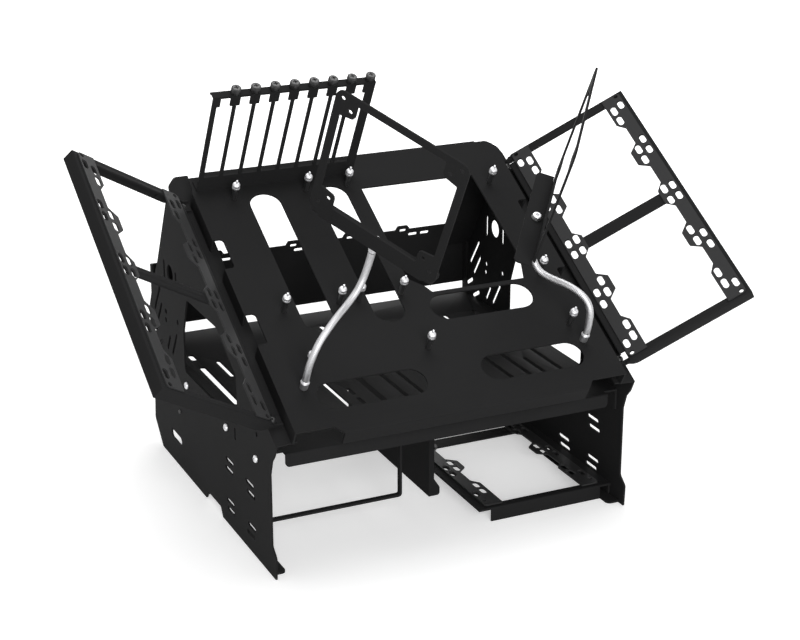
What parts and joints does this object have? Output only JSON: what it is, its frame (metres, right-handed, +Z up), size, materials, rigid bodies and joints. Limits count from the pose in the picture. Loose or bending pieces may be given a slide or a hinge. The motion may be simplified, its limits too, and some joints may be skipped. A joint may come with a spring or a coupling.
{
  "type": "open air test bench",
  "caption": "Open folded-steel bench for computer boards: tilted tray on standoffs, slotted deck below, angled fan wings, card bracket and two fan frames on flexible arms.",
  "frame": {"origin": "centre of the bench's box at the ground", "axes": "+X to the bench's right seen from the front, +Y to the rear, +Z up"},
  "size_m": [0.6256, 0.4878, 0.4698],
  "materials": {
    "black_coat": "fine matt powder coat",
    "strip_coat": "satin powder coat",
    "black_screw": "black oxide",
    "bright_steel": "bright zinc",
    "arm_hose": "bright wound steel hose"
  },
  "bodies": {
    "root": {"motherboard_tray": "black_coat", "side_panel_right": "black_coat", "side_panel_left": "black_coat", "deck": "black_coat", "rear_wall": "black_coat", "centre_wall": "black_coat", "wing_frame_right": "black_coat", "wing_frame_left": "black_coat", "wing_brackets_right": "black_coat", "wing_brackets_left": "black_coat", "card_bracket": "black_coat", "fan_frame_left": "black_coat", "fan_frame_right": "black_coat", "lower_bracket": "black_coat", "wing_strips_right": "strip_coat", "wing_strips_left": "strip_coat", "lower_strips": "strip_coat", "power_supply_loop": "strip_coat", "thumb_screws": "black_screw", "card_bracket_screws": "black_screw", "standoff_posts": "black_screw", "clamp_washers": "black_screw", "standoff_caps": "bright_steel", "side_screws": "bright_steel", "bracket_screws": "bright_steel", "clamp_screws": "bright_steel", "arm_nuts": "bright_steel", "arm_ferrules_left": "bright_steel", "arm_ferrules_right": "bright_steel", "arm_left": "arm_hose", "arm_right": "arm_hose"}
  },
  "joints": []
}
